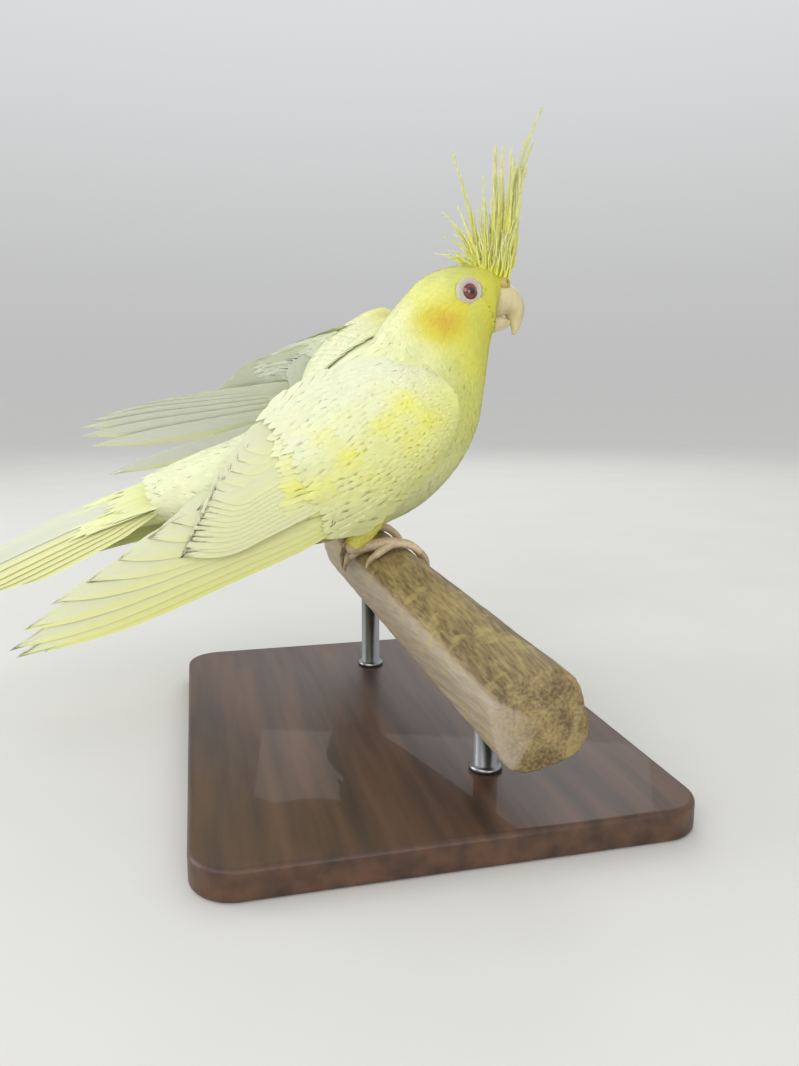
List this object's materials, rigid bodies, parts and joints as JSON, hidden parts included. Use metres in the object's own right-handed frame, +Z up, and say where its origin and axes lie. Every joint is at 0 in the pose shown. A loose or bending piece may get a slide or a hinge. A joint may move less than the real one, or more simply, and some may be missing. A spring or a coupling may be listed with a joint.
{
  "type": "cockatiel",
  "caption": "Life-size still model of a pale yellow cockatiel with raised crest, gripping a short cut perch on a plain stand.",
  "frame": {"origin": "middle of the underside of the display stand's base", "axes": "+X the way the bird faces, along the body and tail; +Y the bird's left, along the perch to its far end; +Z up"},
  "size_m": [0.2532, 0.2225, 0.2218],
  "materials": {
    "plumage": "soft pale yellow and cream feathers",
    "foot_skin": "scaled pinkish skin",
    "bill_horn": "pale satin horn",
    "claw_horn": "satin horn",
    "eye": "wet, dark red",
    "perch_wood": "worn, unpainted",
    "stand_wood": "dark, satin lacquer",
    "stand_steel": "brushed"
  },
  "bodies": {
    "root": {"torso": "plumage", "neck": "plumage", "head": "plumage", "wing_right": "plumage", "wing_left": "plumage", "tail": "plumage", "thigh_right": "plumage", "thigh_left": "plumage", "foot_right": "foot_skin", "foot_left": "foot_skin", "bill_upper": "bill_horn", "bill_lower": "bill_horn", "eye_right": "eye", "eye_left": "eye", "perch": "perch_wood", "stand_base": "stand_wood", "stand_rod_near": "stand_steel", "stand_rod_far": "stand_steel", "claw_right_2": "claw_horn", "claw_right_3": "claw_horn", "claw_right_1": "claw_horn", "claw_right_4": "claw_horn", "claw_left_2": "claw_horn", "claw_left_3": "claw_horn", "claw_left_1": "claw_horn", "claw_left_4": "claw_horn"}
  },
  "joints": []
}
